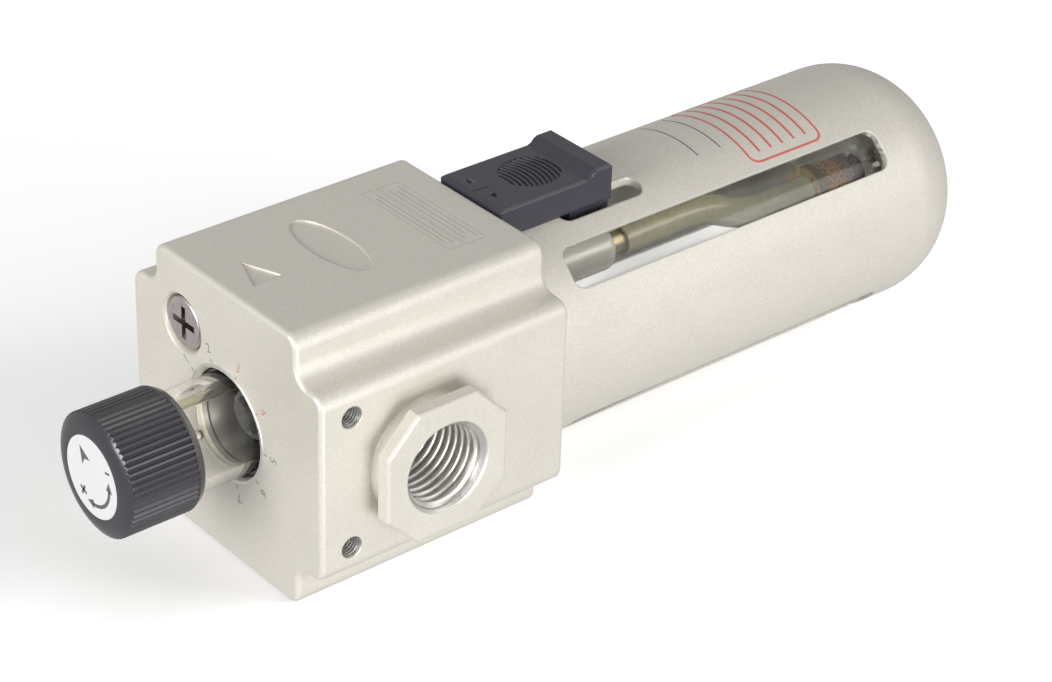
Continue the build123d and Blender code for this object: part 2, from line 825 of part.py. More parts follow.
def bowl():
    """The clear bowl: a neck with a ring groove, a flange and a domed end with a nub."""
    neck = bowl_bore_radius - bowl_neck_gap
    flange_low = lug_top_z
    flange_top = bowl_flange_top_z
    neck_top = flange_top + bowl_neck_length
    straight = bowl_straight_z
    inner = bowl_radius - bowl_wall
    outer_side = Polyline(
        (neck_inner_radius, 0, neck_top),
        (neck, 0, neck_top),
        (neck, 0, flange_top),
        (bowl_flange_radius, 0, flange_top),
        (bowl_flange_radius, 0, flange_low),
        (bowl_radius, 0, flange_low),
        (bowl_radius, 0, straight),
    )
    outer_end = EllipticalCenterArc((0, 0), bowl_radius, bowl_end_depth, start_angle=270, arc_size=90)
    inner_end = EllipticalCenterArc((0, 0), inner, bowl_end_depth - bowl_wall, start_angle=270, arc_size=90)
    place = Plane.XZ.location * Pos(0, straight)
    axis_line = Line((0, 0, straight - bowl_end_depth), (0, 0, bowl_floor_z))
    inner_side = Polyline(
        (inner, 0, straight),
        (inner, 0, flange_low - bowl_wall),
        (neck_inner_radius, 0, flange_top),
        (neck_inner_radius, 0, neck_top),
    )
    outline = Curve() + [outer_side, place * outer_end, axis_line, place * inner_end, inner_side]
    solid = revolve(make_face(outline), Axis.Z, 360)
    solid += cylinder(bowl_nub_radius, nub_low_z, bowl_floor_z - bowl_wall / 2)
    groove_low = flange_top + (bowl_neck_length - ring_groove_width) / 2
    groove = cylinder(neck + over, groove_low, groove_low + ring_groove_width)
    groove -= cylinder(neck - ring_groove_depth, groove_low - over, groove_low + ring_groove_width + over)
    return solid - groove


def bowl_ring():
    """The seal between the bowl's neck and the body."""
    floor = bowl_bore_radius - bowl_neck_gap - ring_groove_depth
    section = (bowl_bore_radius - floor) / 2 - ring_play
    height = bowl_flange_top_z + bowl_neck_length / 2
    return seal_ring((bowl_bore_radius + floor) / 2, section, height)


def guard_shell():
    """The guard's drawn shell, with its narrower neck and its crowned end."""
    neck = guard_bore_radius - guard_neck_gap
    end = guard_end_z
    flat = guard_radius - guard_corner
    corner_z = end + guard_crown + guard_corner
    diagonal = sqrt(0.5) * guard_corner
    outer_side = Polyline(
        (neck - guard_neck_wall, 0, lug_top_z),
        (neck, 0, lug_top_z),
        (neck, 0, guard_shoulder_z),
        (guard_radius - guard_edge, 0, guard_shoulder_z),
        (guard_radius, 0, guard_shoulder_z - guard_edge),
        (guard_radius, 0, corner_z),
    )
    outer_corner = ThreePointArc(
        (guard_radius, 0, corner_z),
        (flat + diagonal, 0, corner_z - diagonal),
        (flat, 0, end + guard_crown),
    )
    outer_crown = Spline((flat, 0, end + guard_crown), (0, 0, end), tangents=[(-1, 0, 0), (-1, 0, 0)])
    inner = guard_radius - guard_wall
    inner_corner = guard_corner - guard_wall
    inner_diagonal = sqrt(0.5) * inner_corner
    shoulder_in = guard_shoulder_z - guard_shoulder
    inner_crown = Spline(
        (0, 0, end + guard_wall),
        (flat, 0, end + guard_crown + guard_wall),
        tangents=[(1, 0, 0), (1, 0, 0)],
    )
    inner_arc = ThreePointArc(
        (flat, 0, end + guard_crown + guard_wall),
        (flat + inner_diagonal, 0, corner_z - inner_diagonal),
        (inner, 0, corner_z),
    )
    step = inner - neck + guard_neck_wall
    inner_side = Polyline(
        (inner, 0, corner_z),
        (inner, 0, shoulder_in - step),
        (neck - guard_neck_wall, 0, shoulder_in),
        (neck - guard_neck_wall, 0, lug_top_z),
    )
    axis_line = Line((0, 0, end), (0, 0, end + guard_wall))
    outline = Curve() + [outer_side, outer_corner, outer_crown, axis_line, inner_crown, inner_arc, inner_side]
    return revolve(make_face(outline), Axis.Z, 360)


def bowl_guard():
    """The guard with its lugs, windows, leg slots and spring tab."""
    solid = guard_shell()
    lug_inner = guard_bore_radius - guard_neck_gap - guard_neck_wall
    lug_outer = bayonet_radius - guard_neck_gap
    for index in range(lug_count):
        solid += sector(lug_inner, lug_outer, lug_low_z, lug_top_z, 360 / lug_count * index, lug_arc)
    window = RectangleRounded(window_width, window_length, window_corner)
    centre = guard_shoulder_z - window_drop - window_length / 2
    for index in range(window_count):
        tool = extrude(Plane.XZ * Pos(0, centre) * window, guard_radius + over)
        solid -= Rot(0, 0, 360 / window_count * (index + 0.5)) * tool
    solid -= both_sides(leg_slot())
    return solid + spring_seat()


def spring_seat():
    """The tab on the guard that the lock spring stands on."""
    half = spring_pocket_width / 2 - spring_tab_gap
    front = -(spring_pocket_roof - spring_tab_gap)
    back = -(guard_radius - guard_wall / 2)
    return block(-half, half, front, back, spring_tab_z() - spring_tab, spring_tab_z())


def leg_slot():
    """The slot that a leg of the lock button runs in."""
    width = leg_width + slot_gap + slot_side_gap
    middle_x = leg_x + (slot_side_gap - slot_gap) / 2
    high = leg_top_z() + slot_gap + width / 2
    low = leg_top_z() - leg_length - button_travel - slot_gap - width / 2
    slot = SlotOverall(high - low, width)
    plane = Plane.XZ * Pos(middle_x, (high + low) / 2) * Rot(0, 0, 90)
    return extrude(plane * slot, guard_radius + over)


def leg_top_z():
    """The height of the legs' upper ends."""
    return button_end_z + leg_end + leg_length


def spring_tab_z():
    """The height of the tab that the lock spring stands on."""
    return button_top_z - spring_pocket_top - spring_length


def button_legs():
    """The two hooked legs that hold the button on the guard."""
    low = leg_top_z() - leg_length
    high = leg_top_z()
    x_low = leg_x - leg_width / 2
    x_high = leg_x + leg_width / 2
    outer = guard_radius + button_gap + leg_root
    ring = cylinder(outer, low, high) - cylinder(leg_inner, low - over, high + over)
    leg = ring & block(x_low, x_high, -outer, 0, low, high)
    hook_outer = guard_radius - guard_wall - button_gap
    hook_ring = cylinder(hook_outer, low, high) - cylinder(leg_inner, low - over, high + over)
    hook = hook_ring & block(x_low, x_high + hook_reach, -outer, 0, low, high)
    return both_sides(leg + hook)


def lock_button():
    """The sliding button, with a raised end, a grip, a tongue and two hooked legs."""
    half = button_width / 2
    front = -button_front
    slope_z = button_end_z + ridge_length + ridge_slope
    side = Polyline(
        (front, button_top_z),
        (front, slope_z),
        (front - ridge_height, slope_z - ridge_slope),
        (front - ridge_height, button_end_z),
        (front + button_side_depth, button_end_z),
        (front + button_side_depth, button_top_z),
        close=True,
    )
    solid = extrude(Plane.YZ.offset(-half) * make_face(side), button_width)
    outer_edges = [e for e in solid.edges() if e.center().Y < -guard_radius]
    solid = chamfer(outer_edges, button_edge)
    solid -= cylinder(guard_radius + button_gap, button_end_z - over, button_top_z + over)
    tongue_x = tongue_width / 2
    tongue_front = -(tongue_inner + tongue_thickness)
    tongue_top = button_top_z + tongue_height
    solid += block(-tongue_x, tongue_x, tongue_front, -tongue_inner, button_top_z - over, tongue_top)
    solid -= grip_grooves_tool()
    pocket = spring_pocket_width / 2
    pocket_top = button_top_z - spring_pocket_top
    pocket_low = spring_tab_z() - spring_tab - slot_gap
    solid -= block(-pocket, pocket, -spring_pocket_roof, 0, pocket_low, pocket_top)
    return solid + button_legs()


def grip_grooves_tool():
    """Curved grooves inside an oval, for the thumb."""
    centre_z = button_top_z - grip_drop
    oval = Pos(0, centre_z) * Ellipse(grip_half_width, grip_half_length)
    pitch = 2 * grip_half_length / (grip_grooves + 0.5)
    half = pitch * grip_groove_share / 2
    tool = None
    for index in range(grip_grooves):
        middle = centre_z + pitch * (index - (grip_grooves - 1) / 2)
        ring = Pos(0, middle + grip_arc) * (Circle(grip_arc + half) - Circle(grip_arc - half))
        groove = ring & (Pos(0, middle) * Rectangle(button_width, grip_arc)) & oval
        solid = extrude(Plane.XZ.offset(button_front - grip_depth) * groove, grip_depth + over)
        tool = solid if tool is None else tool + solid
    return tool


def lock_spring():
    """The coil spring that pushes the button up, standing on the guard's tab."""
    low = spring_tab_z() + spring_wire / 2
    length = spring_length - spring_wire
    centre_y = -(guard_radius + spring_pocket_roof) / 2
    helix = Helix(length / spring_turns, length, spring_radius)
    start = Plane(origin=helix @ 0, z_dir=helix % 0)
    coil = sweep(start * Circle(spring_wire / 2), helix)
    return Pos(0, centre_y, low) * coil


pieces = {
    "body": body,
    "flow_guide": flow_guide,
    "flow_damper": flow_damper,
    "sight_dome": sight_dome,
    "dome_ring": dome_ring,
    "sight_floor": sight_floor,
    "feed_tube": feed_tube,
    "drip_nozzle": drip_nozzle,
    "needle_spindle": needle_spindle,
    "spindle_ring": spindle_ring,
    "adjusting_knob": adjusting_knob,
    "knob_label": knob_label,
    "fill_plug": fill_plug,
    "fill_plug_ring": fill_plug_ring,
    "siphon_holder": siphon_holder,
    "holder_screws": holder_screws,
    "siphon_spigot": siphon_spigot,
    "check_ball": check_ball,
    "siphon_tube": siphon_tube,
    "filter_ring": filter_ring,
    "suction_filter": suction_filter,
    "bowl": bowl,
    "bowl_ring": bowl_ring,
    "bowl_guard": bowl_guard,
    "lock_button": lock_button,
    "lock_spring": lock_spring,
}

os.makedirs("parts", exist_ok=True)
for name, make in pieces.items():
    export_step(Pos(port_span / 2 - lead_depth, 0, 0) * make(), f"parts/{name}.step")
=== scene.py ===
import json
from collections import namedtuple
from math import cos, hypot, pi, radians, sin

import bmesh
import bpy
from mathutils import Matrix, Vector


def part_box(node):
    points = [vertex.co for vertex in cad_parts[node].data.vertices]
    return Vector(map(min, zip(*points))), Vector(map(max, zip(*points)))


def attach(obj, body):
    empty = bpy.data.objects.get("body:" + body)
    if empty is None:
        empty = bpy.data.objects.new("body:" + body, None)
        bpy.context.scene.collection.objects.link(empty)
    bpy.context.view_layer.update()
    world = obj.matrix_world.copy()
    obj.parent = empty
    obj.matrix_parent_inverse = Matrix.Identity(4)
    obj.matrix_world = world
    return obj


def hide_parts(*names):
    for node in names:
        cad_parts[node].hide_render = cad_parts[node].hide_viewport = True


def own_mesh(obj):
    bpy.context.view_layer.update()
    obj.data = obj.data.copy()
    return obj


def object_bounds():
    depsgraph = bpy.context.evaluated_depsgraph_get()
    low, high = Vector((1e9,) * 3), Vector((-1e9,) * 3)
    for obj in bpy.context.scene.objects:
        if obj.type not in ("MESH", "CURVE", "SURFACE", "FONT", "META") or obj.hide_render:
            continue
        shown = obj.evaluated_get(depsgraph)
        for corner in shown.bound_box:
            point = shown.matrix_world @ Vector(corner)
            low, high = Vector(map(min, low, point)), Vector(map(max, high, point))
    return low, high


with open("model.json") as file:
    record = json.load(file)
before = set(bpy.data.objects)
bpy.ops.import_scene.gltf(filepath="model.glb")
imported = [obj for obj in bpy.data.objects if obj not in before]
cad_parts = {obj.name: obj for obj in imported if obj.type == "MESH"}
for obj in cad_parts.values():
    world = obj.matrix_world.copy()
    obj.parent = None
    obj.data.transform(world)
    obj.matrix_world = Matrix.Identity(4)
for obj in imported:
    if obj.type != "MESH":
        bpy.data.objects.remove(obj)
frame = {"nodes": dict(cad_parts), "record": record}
cad_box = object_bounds()
nodes = frame["nodes"]
mounts = {mount["name"]: mount for mount in frame["record"]["mounts"]}
mm = 0.001

# Places taken from the frame
bowl_low, bowl_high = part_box("bowl")
body_low, body_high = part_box("body")
guard_low, guard_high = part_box("bowl_guard")
dome_low, dome_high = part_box("sight_dome")
plug_low, plug_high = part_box("fill_plug")
plug_middle = (plug_low + plug_high) / 2
label_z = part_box("knob_label")[1].z
axis_x = (bowl_low.x + bowl_high.x) / 2
guard_radius = (guard_high.x - guard_low.x) / 2
top_z = body_high.z
front_y = body_low.y
back_y = body_high.y

# Threads, G 1/4 in both ports and M3 in the side holes: their radii, the pitch, the depth, the
# lead-in cone's radius at the mouth, the points round them and the rings in a turn
Thread = namedtuple("Thread", "minor major pitch depth cone sides rings")
port_thread = Thread(
    minor=mounts["inlet_port"]["dims"]["r_mm"] * mm,
    major=6.5785 * mm,
    pitch=1.337 * mm,
    depth=12.4 * mm,
    cone=6.8285 * mm,
    sides=96,
    rings=12,
)
side_thread = Thread(
    minor=mounts["inlet_side_holes"]["dims"]["hole_r_mm"] * mm,
    major=1.5 * mm,
    pitch=0.5 * mm,
    depth=5.9 * mm,
    cone=1.6 * mm,
    sides=40,
    rings=8,
)
side_mouth = Vector(mounts["inlet_side_holes"]["pos_m"])
side_spacing = mounts["inlet_side_holes"]["dims"]["spacing_x_mm"] * mm

# A thread's sleeve: its wall outside the thread, and how far it goes into the body
sleeve_wall = 0.14 * mm
sleeve_bite = 0.02 * mm

# Bare metal round the sight dome: the chamfer, the bead on it, which rises by a share of its
# radius, and the bore, whose metal is darkened with painted shade. A face's normal points up by
# at least these shares where it is sloped and where it is level.
dome_rim = (dome_high.x - dome_low.x) / 2 + 0.8 * mm
rim_depth = 0.3 * mm
bead_radius = 0.28 * mm
bead_rise = 0.6
bead_sides = 96
bead_steps = 8
bore_low = dome_low.z - 2.0 * mm
bore_ledge = top_z - 2.0 * mm
bore_high = top_z - 0.5 * mm
sloped_normal = 0.3
level_normal = 0.95

# The plug's cross recess, which is darkened with painted shade, and the unpainted inside of the guard
recess_radius = 0.6 * ((plug_high.x - plug_low.x) / 2 + 0.9 * mm)
recess_high = plug_high.z - 0.02 * mm
recess_low = plug_high.z - 1.6 * mm
guard_skin = 0.6 * mm

# Scale round the sight dome, with its angles in degrees
ink_height = 0.02 * mm
scale_count = 7
scale_first = 33.0
scale_step = 37.0
scale_red = (3, 4)
tick_inner = 8.75 * mm
tick_outer = 9.35 * mm
tick_width = 0.16 * mm
digit_radius = 10.75 * mm
digit_size = 2.0 * mm
digit_offset = -0.012 * mm
digit_steps = 6

# Arrow and plain oval cut into the front face, in millimetres beside the axis and above the
# top face; the arrow points along the flow
recess_depth = 0.25 * mm
arrow_points = ((4.1, -5.95), (-1.9, -3.65), (-1.6, -8.3))
oval_middle = (1.0, -18.2)
oval_half = (8.2, 3.1)
oval_step = 5

# Print on the front face, in the same millimetres: frames as their lower and upper edges and
# their rows of bars
front_frames = ((-36.3, -32.9, 3), (-32.5, -30.1, 2))
front_print_half = 9.8
front_corner = 0.2
front_stroke = 0.16
front_bar = 0.3
front_margin = 1.2
front_stagger = 1.1

# Print on the guard, with angles in degrees from the front and heights below the top face
frame_half_angle = 30.5
frame_high = 87.2 * mm
frame_low = 101.2 * mm
frame_stroke = 0.36 * mm
frame_corner = 1.5 * mm
bar_width = 0.42 * mm
bar_rows = 5
bar_margin = 1.6 * mm
rule_heights = (79.9 * mm, 84.3 * mm)
rule_width = 0.16 * mm
rule_angles = (-16.0, 24.0)

# Marks on the knob's label, in millimetres and in degrees from +X towards -Y
arc_radius = 4.1
arc_middle = -135.0
arc_half = 44
arc_step = 4
arc_width = 0.52
head_start = 42
head_turn = 20
head_lift = 0.1
head_half = 0.68
pointer_points = ((4.6, 0.0), (2.1, -1.15), (2.65, 0.0), (2.1, 1.15))
pointer_turn = 55.0
minus_place = (4.6, 146.0)
minus_half = (-0.5, 0.1)
minus_width = 0.34
plus_place = (3.7, -54.0)
plus_arm = 0.8
plus_turns = (26.0, 116.0)
plus_width = 0.4

# Marks cut into the lock button, in millimetres beside the axis and above the top face; the
# button's raised end stands above its flat front
ridge_height = 1.1 * mm
mark_depth = 0.3 * mm
mark_line = ((0.05, -42.2), (0.35, -42.2), (0.15, -44.9), (-0.15, -44.9))
mark_arrows = (
    ((3.6, -43.6), (2.2, -44.35), (2.2, -42.9)),
    ((-3.3, -43.6), (-1.9, -42.9), (-1.9, -44.35)),
)

# Studio: the lamps as places from the object's middle, powers and what they light
floor_gap = 0.1 * mm
floor_reach = 0.7
floor_colour = 0.9
floor_glow = 0.27
surround_level = 0.5
lamp_size = 0.45
lamps = (
    ("side", (-0.80, 0.02, 0.10), 5.6, "object"),
    ("end", (-0.05, -0.25, 0.80), 5.7, "object"),
    ("key", (-0.60, -0.30, -0.45), 0.6, "object"),
    ("floor_key", (-0.60, -0.30, -0.45), 6.7, "floor"),
    ("floor_end", (-0.05, -0.25, 0.80), 2.0, "floor"),
    ("gloss", (-0.60, -0.30, -0.45), 8.0, "gloss"),
)
glossy_nodes = (
    "adjusting_knob", "lock_button", "sight_dome", "sight_floor", "feed_tube", "drip_nozzle",
    "bowl", "siphon_holder", "siphon_tube", "siphon_spigot", "filter_ring", "fill_plug",
)

# Camera, in metres and degrees
camera_place = (-0.251974, -0.215631, 0.204708)
camera_turn = (-29.0799, 50.1203, -177.2621)
camera_lens = 101.206


def linked(name, data):
    """A new object with its data, in the scene."""
    piece = bpy.data.objects.new(name, data)
    bpy.context.scene.collection.objects.link(piece)
    return piece


def placed_mesh(name, points, faces, material, body="root", smooth=False):
    """A new piece from points and faces, with its material, riding on a body."""
    mesh = bpy.data.meshes.new(name)
    mesh.from_pydata([tuple(p) for p in points], [], faces)
    mesh.validate()
    mesh.materials.append(material)
    for polygon in mesh.polygons:
        polygon.use_smooth = smooth
    piece = linked(name, mesh)
    if body:
        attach(piece, body)
    return piece


def slab(outline, thickness, place):
    """Points and faces of a flat shape with a thickness, put on a surface by a function."""
    count = len(outline)
    points = [place(u, v, height) for height in (0.0, thickness) for u, v in outline]
    faces = [tuple(range(count, 2 * count)), tuple(reversed(range(count)))]
    for index in range(count):
        following = (index + 1) % count
        faces.append((index, following, following + count, index + count))
    return points, faces


def between(start, end, share):
    """The flat point at a share of the way from one point to another."""
    return tuple(a + (b - a) * share for a, b in zip(start, end))


def straight(start, end, runs=24):
    """A straight line of points."""
    return [between(start, end, run / runs) for run in range(runs + 1)]


def ribbon(line, width, height, place):
    """Points and faces of a thin raised line along flat points, put on a surface by a function."""
    closed = line[0] == line[-1]
    count = len(line) - 1 if closed else len(line)
    points, faces = [], []
    for index in range(count):
        before = line[(index - 1) % count] if closed else line[max(index - 1, 0)]
        after = line[(index + 1) % count] if closed else line[min(index + 1, count - 1)]
        along = Vector((after[0] - before[0], after[1] - before[1])).normalized()
        side = Vector((-along.y, along.x)) * width / 2
        u, v = line[index]
        for lift in (0.0, height):
            points.append(place(u - side.x, v - side.y, lift))
            points.append(place(u + side.x, v + side.y, lift))
    last = count if closed else count - 1
    for index in range(last):
        a, b = 4 * index, 4 * ((index + 1) % count)
        faces.append((a, a + 1, b + 1, b))
        faces.append((a + 2, b + 2, b + 3, a + 3))
        faces.append((a, b, b + 2, a + 2))
        faces.append((a + 1, a + 3, b + 3, b + 1))
    if not closed:
        end = 4 * (count - 1)
        faces.append((0, 2, 3, 1))
        faces.append((end, end + 1, end + 3, end + 2))
    return points, faces


def polar(radius, angle):
    """Flat coordinates from a radius and an angle in degrees."""
    return radius * cos(radians(angle)), radius * sin(radians(angle))


def rounded_frame(half_width, low, high, corner, steps=6, runs=24):
    """A closed line round a rectangle with round corners."""
    corners = (
        (half_width - corner, low + corner, -90),
        (half_width - corner, high - corner, 0),
        (-half_width + corner, high - corner, 90),
        (-half_width + corner, low + corner, 180),
    )
    line = []
    for index, (u, v, start) in enumerate(corners):
        for step in range(steps + 1):
            across, up = polar(corner, start + 90 * step / steps)
            line.append((u + across, v + up))
        following = corners[(index + 1) % 4]
        across, up = polar(corner, start + 90)
        end = (following[0] + across, following[1] + up)
        begin = line[-1]
        line += [between(begin, end, run / runs) for run in range(1, runs)]
    line.append(line[0])
    return line


def joined(shapes):
    """Several shapes of points and faces as one."""
    points, faces = [], []
    for more_points, more_faces in shapes:
        start = len(points)
        points += more_points
        faces += [tuple(start + index for index in face) for face in more_faces]
    return points, faces


def new_material(name, colour, roughness, metallic=0.0, specular=0.5):
    """A material with its shader's constants set, and its shader at hand."""
    material = bpy.data.materials.new(name)
    material.use_nodes = True
    shader = material.node_tree.nodes["Principled BSDF"]
    shader.inputs["Base Color"].default_value = (*colour, 1.0)
    shader.inputs["Roughness"].default_value = roughness
    shader.inputs["Metallic"].default_value = metallic
    shader.inputs["Specular IOR Level"].default_value = specular
    return material, shader


def mixed(tree, factor, first, second, output):
    """Mixes two shaders by a factor, on the way to an output."""
    mix = tree.nodes.new("ShaderNodeMixShader")
    tree.links.new(factor, mix.inputs["Fac"])
    tree.links.new(first.outputs[0], mix.inputs[1])
    tree.links.new(second.outputs[0], mix.inputs[2])
    tree.links.new(mix.outputs[0], output.inputs["Surface"])


def coordinates(material, stretch=(1, 1, 1)):
    """Object coordinates, stretched."""
    tree = material.node_tree
    source = tree.nodes.new("ShaderNodeTexCoord")
    mapping = tree.nodes.new("ShaderNodeMapping")
    mapping.inputs["Scale"].default_value = stretch
    tree.links.new(source.outputs["Object"], mapping.inputs["Vector"])
    return mapping.outputs["Vector"]


def noise(material, size, detail=2.0, stretch=(1, 1, 1)):
    """A noise whose features have about this size in metres."""
    tree = material.node_tree
    texture = tree.nodes.new("ShaderNodeTexNoise")
    texture.inputs["Scale"].default_value = 1.0 / size
    texture.inputs["Detail"].default_value = detail
    tree.links.new(coordinates(material, stretch), texture.inputs["Vector"])
    return texture.outputs["Fac"]


def cells(material, size):
    """A pattern of cells of about this size in metres."""
    tree = material.node_tree
    texture = tree.nodes.new("ShaderNodeTexVoronoi")
    texture.inputs["Scale"].default_value = 1.0 / size
    tree.links.new(coordinates(material), texture.inputs["Vector"])
    return texture


def ramp(material, factor, stops):
    """A colour ramp over a factor."""
    tree = material.node_tree
    node = tree.nodes.new("ShaderNodeValToRGB")
    elements = node.color_ramp.elements
    elements[0].position, elements[0].color = stops[0][0], (*stops[0][1], 1.0)
    elements[1].position, elements[1].color = stops[-1][0], (*stops[-1][1], 1.0)
    for position, colour in stops[1:-1]:
        element = elements.new(position)
        element.color = (*colour, 1.0)
    tree.links.new(factor, node.inputs["Fac"])
    return node.outputs["Color"]


def spread(material, factor, low, high):
    """A factor's middle range mapped to two values."""
    tree = material.node_tree
    node = tree.nodes.new("ShaderNodeMapRange")
    node.inputs["From Min"].default_value = 0.3
    node.inputs["From Max"].default_value = 0.7
    node.inputs["To Min"].default_value = low
    node.inputs["To Max"].default_value = high
    tree.links.new(factor, node.inputs["Value"])
    return node.outputs["Result"]


def bump(material, shader, height, strength, distance, edge=0.0):
    """Relief on a shader from a height, over edges softened by a radius."""
    tree = material.node_tree
    node = tree.nodes.new("ShaderNodeBump")
    node.inputs["Strength"].default_value = strength
    node.inputs["Distance"].default_value = distance
    tree.links.new(height, node.inputs["Height"])
    tree.links.new(node.outputs["Normal"], shader.inputs["Normal"])
    if edge:
        soft = tree.nodes.new("ShaderNodeBevel")
        soft.samples = 6
        soft.inputs["Radius"].default_value = edge
        tree.links.new(soft.outputs["Normal"], node.inputs["Normal"])


def shade(colour, factor):
    """A colour made lighter or darker."""
    return tuple(min(1.0, part * factor) for part in colour)


def grained(name, colour, roughness, grain, contrast, relief, specular=0.5, edge=0.0):
    """A moulded or printed surface: fine grain in colour and relief, broad changes in gloss."""
    material, shader = new_material(name, colour, roughness, specular=specular)
    tree = material.node_tree
    fine = noise(material, grain, 3.0)
    stops = ((0.32, shade(colour, 1 - contrast)), (0.5, colour), (0.68, shade(colour, 1 + contrast)))
    tree.links.new(ramp(material, fine, stops), shader.inputs["Base Color"])
    broad = noise(material, grain * 40)
    gloss = spread(material, broad, roughness - 0.03, roughness + 0.03)
    tree.links.new(gloss, shader.inputs["Roughness"])
    bump(material, shader, fine, 0.5, relief, edge)
    return material


def painted(name, colour, grain, sparkle, peel_depth, edge):
    """Champagne metallic paint: fine flakes over an even base."""
    material, shader = new_material(name, colour, 0.42, metallic=0.35)
    tree = material.node_tree
    separate = tree.nodes.new("ShaderNodeSeparateColor")
    tree.links.new(cells(material, grain).outputs["Color"], separate.inputs["Color"])
    stops = ((0.0, shade(colour, 1 - sparkle)), (0.6, colour), (1.0, shade(colour, 1 + sparkle)))
    flakes = ramp(material, separate.outputs["Red"], stops)
    tree.links.new(flakes, shader.inputs["Base Color"])
    broad = noise(material, 6 * mm)
    tree.links.new(spread(material, broad, 0.38, 0.46), shader.inputs["Roughness"])
    bump(material, shader, noise(material, grain * 2.2), 0.35, peel_depth, edge)
    shader.inputs["Coat Weight"].default_value = 0.12
    shader.inputs["Coat Roughness"].default_value = 0.25
    return material


def brushed(name, colour, roughness):
    """Turned or brushed metal with fine lines."""
    material, shader = new_material(name, colour, roughness, metallic=1.0)
    tree = material.node_tree
    lines = noise(material, 1.2 * mm, 4.0, stretch=(1, 1, 12))
    tone = ramp(material, lines, ((0.3, shade(colour, 0.88)), (0.7, shade(colour, 1.08))))
    tree.links.new(tone, shader.inputs["Base Color"])
    gloss = spread(material, lines, roughness - 0.05, roughness + 0.08)
    tree.links.new(gloss, shader.inputs["Roughness"])
    bump(material, shader, lines, 0.25, 0.01 * mm)
    return material


def clear(name, colour, roughness, refraction, waviness):
    """Clear plastic with a faint unevenness from the mould."""
    material, shader = new_material(name, colour, roughness)
    shader.inputs["Transmission Weight"].default_value = 1.0
    shader.inputs["IOR"].default_value = refraction
    tree = material.node_tree
    broad = noise(material, 5 * mm, 1.0)
    tone = ramp(material, broad, ((0.3, shade(colour, 0.98)), (0.7, shade(colour, 1.01))))
    tree.links.new(tone, shader.inputs["Base Color"])
    tree.links.new(spread(material, broad, roughness, roughness + 0.03), shader.inputs["Roughness"])
    bump(material, shader, broad, waviness, 0.05 * mm)
    let_lamps_through(tree, shader, colour)
    return material


def let_lamps_through(tree, shader, colour):
    """Lets lamplight straight through a clear surface, so that it reaches what is inside."""
    path = tree.nodes.new("ShaderNodeLightPath")
    open_side = tree.nodes.new("ShaderNodeBsdfTransparent")
    open_side.inputs["Color"].default_value = (*colour, 1.0)
    mixed(tree, path.outputs["Is Shadow Ray"], shader, open_side, tree.nodes["Material Output"])


def sintered(name, colour, end_colour):
    """Sintered bronze: round grains with painted shade in the pores between them, darker and browner towards
    its end.
    """
    material, shader = new_material(name, colour, 0.6, specular=0.25)
    tree = material.node_tree
    # Darker and browner towards the end, by the generated height.
    source = tree.nodes.new("ShaderNodeTexCoord")
    height = tree.nodes.new("ShaderNodeSeparateXYZ")
    tree.links.new(source.outputs["Generated"], height.inputs[0])
    darker_towards_end = ramp(material, height.outputs["Z"], ((0.25, end_colour), (0.5, colour)))
    # The pores between the grains are darkened: painted shade.
    depth = cells(material, 0.45 * mm).outputs["Distance"]
    stops = ((0.1, (1.0, 1.0, 1.0)), (0.45, (0.8, 0.8, 0.8)), (0.8, (0.35, 0.3, 0.25)))
    tone = tree.nodes.new("ShaderNodeMix")
    tone.data_type = "RGBA"
    tone.blend_type = "MULTIPLY"
    tone.inputs["Factor"].default_value = 1.0
    tree.links.new(darker_towards_end, tone.inputs["A"])
    tree.links.new(ramp(material, depth, stops), tone.inputs["B"])
    tree.links.new(tone.outputs["Result"], shader.inputs["Base Color"])
    bump(material, shader, depth, -0.8, 0.1 * mm)
    return material


def ink(name, colour):
    """Printed ink, a little uneven."""
    return grained(name, colour, 0.5, 0.12 * mm, 0.1, 0.002 * mm)


body_paint = painted("body_paint", (0.672, 0.640, 0.572), 0.11 * mm, 0.09, 0.03 * mm, 0.25 * mm)
guard_paint = painted("guard_paint", (0.668, 0.635, 0.566), 0.14 * mm, 0.09, 0.02 * mm, 0.35 * mm)
button_plastic = grained(
    "button_plastic", (0.031, 0.030, 0.042), 0.26, 0.18 * mm, 0.12, 0.006 * mm, specular=0.65, edge=0.25 * mm
)
knob_plastic = grained(
    "knob_plastic", (0.030, 0.028, 0.034), 0.2, 0.15 * mm, 0.12, 0.004 * mm, specular=0.8, edge=0.15 * mm
)
label_white = grained("label_white", (0.66, 0.66, 0.665), 0.35, 0.3 * mm, 0.015, 0.002 * mm)
dome_clear = clear("dome_clear", (0.99, 0.985, 0.96), 0.02, 1.49, 0.15)
bowl_clear = clear("bowl_clear", (0.95, 0.95, 0.93), 0.02, 1.49, 0.15)
feed_clear = clear("feed_clear", (0.86, 0.84, 0.74), 0.03, 1.35, 0.1)
nylon = grained("nylon", (0.72, 0.69, 0.60), 0.25, 0.4 * mm, 0.03, 0.006 * mm)
tube_olive = grained("tube_olive", (0.56, 0.525, 0.35), 0.18, 0.8 * mm, 0.06, 0.004 * mm)
dark_plastic = grained("dark_plastic", (0.10, 0.10, 0.105), 0.25, 0.2 * mm, 0.1, 0.006 * mm)
rubber = grained("seal_rubber", (0.03, 0.03, 0.03), 0.7, 0.15 * mm, 0.2, 0.01 * mm)
brass = brushed("brass", (0.80, 0.58, 0.20), 0.28)
dull_brass = brushed("dull_brass", (0.50, 0.42, 0.26), 0.45)
bronze = sintered("bronze", (0.95, 0.46, 0.12), (0.24, 0.13, 0.11))
steel = brushed("steel", (0.70, 0.63, 0.61), 0.3)
spring_steel = brushed("spring_steel", (0.55, 0.55, 0.56), 0.3)
bare_metal = brushed("bare_metal", (0.86, 0.84, 0.80), 0.32)
